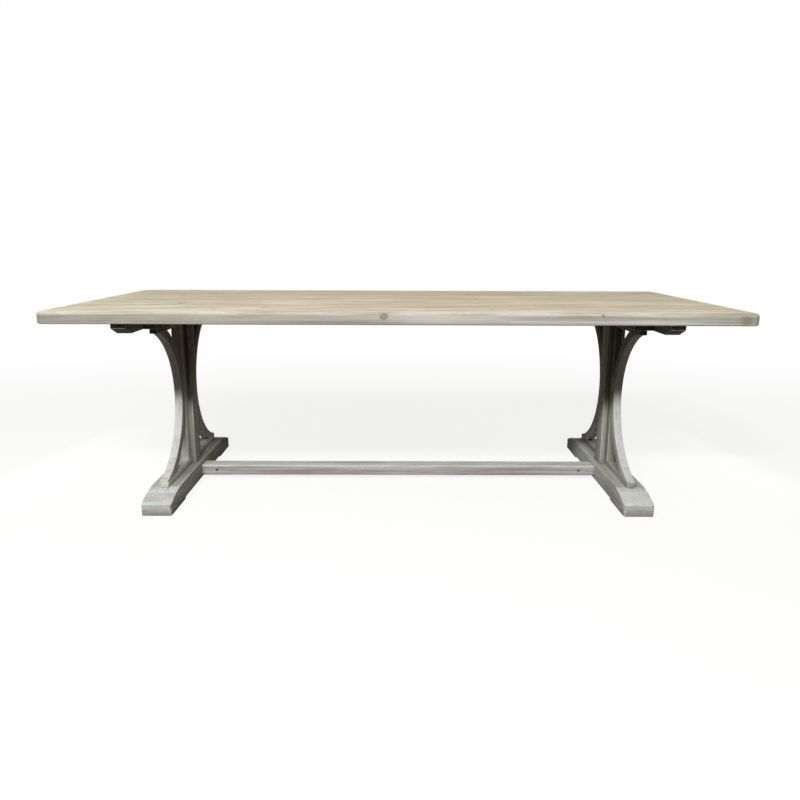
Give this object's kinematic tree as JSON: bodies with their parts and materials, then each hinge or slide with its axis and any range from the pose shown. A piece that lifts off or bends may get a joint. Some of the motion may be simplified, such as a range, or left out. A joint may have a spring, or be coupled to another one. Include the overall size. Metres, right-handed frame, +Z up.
{
  "type": "trestle_dining_table",
  "caption": "Trestle dining table with a plank top, hourglass trestles of curved braces on sledge feet, and a low stretcher bolted between them",
  "frame": {"origin": "On the floor under the middle of the top.", "axes": "X runs along the table with the right trestle at plus X, Y runs across it with the front at minus Y, and Z is up."},
  "size_m": [2.45, 1, 0.762],
  "materials": {
    "top_wood": "whitewashed, brushed and matt",
    "base_wood": "grey limewash, worn and matt",
    "joint_wood": "bare",
    "steel": "zinc plated"
  },
  "bodies": {
    "root": {"left_bearer": "base_wood", "left_bearer_screws": "steel", "left_brace_dowels": "joint_wood", "left_cleat_screws": "steel", "left_foot": "base_wood", "left_front_brace": "base_wood", "left_inner_post_cheek": "base_wood", "left_lower_rail": "base_wood", "left_outer_post_cheek": "base_wood", "left_post_core": "base_wood", "left_rail_screws": "steel", "left_rear_brace": "base_wood", "left_top_cleat": "base_wood", "left_upper_rail": "base_wood", "right_bearer": "base_wood", "right_bearer_screws": "steel", "right_brace_dowels": "joint_wood", "right_cleat_screws": "steel", "right_foot": "base_wood", "right_front_brace": "base_wood", "right_inner_post_cheek": "base_wood", "right_lower_rail": "base_wood", "right_outer_post_cheek": "base_wood", "right_post_core": "base_wood", "right_rail_screws": "steel", "right_rear_brace": "base_wood", "right_top_cleat": "base_wood", "right_upper_rail": "base_wood", "stretcher": "base_wood", "stretcher_barrel_nuts": "steel", "stretcher_bolts": "steel", "stretcher_washers": "steel", "top_board_1": "top_wood", "top_board_2": "top_wood", "top_board_3": "top_wood", "top_board_4": "top_wood", "top_board_5": "top_wood", "top_board_6": "top_wood", "top_board_7": "top_wood", "top_tongue_1": "joint_wood", "top_tongue_2": "joint_wood", "top_tongue_3": "joint_wood", "top_tongue_4": "joint_wood", "top_tongue_5": "joint_wood", "top_tongue_6": "joint_wood"}
  },
  "joints": []
}
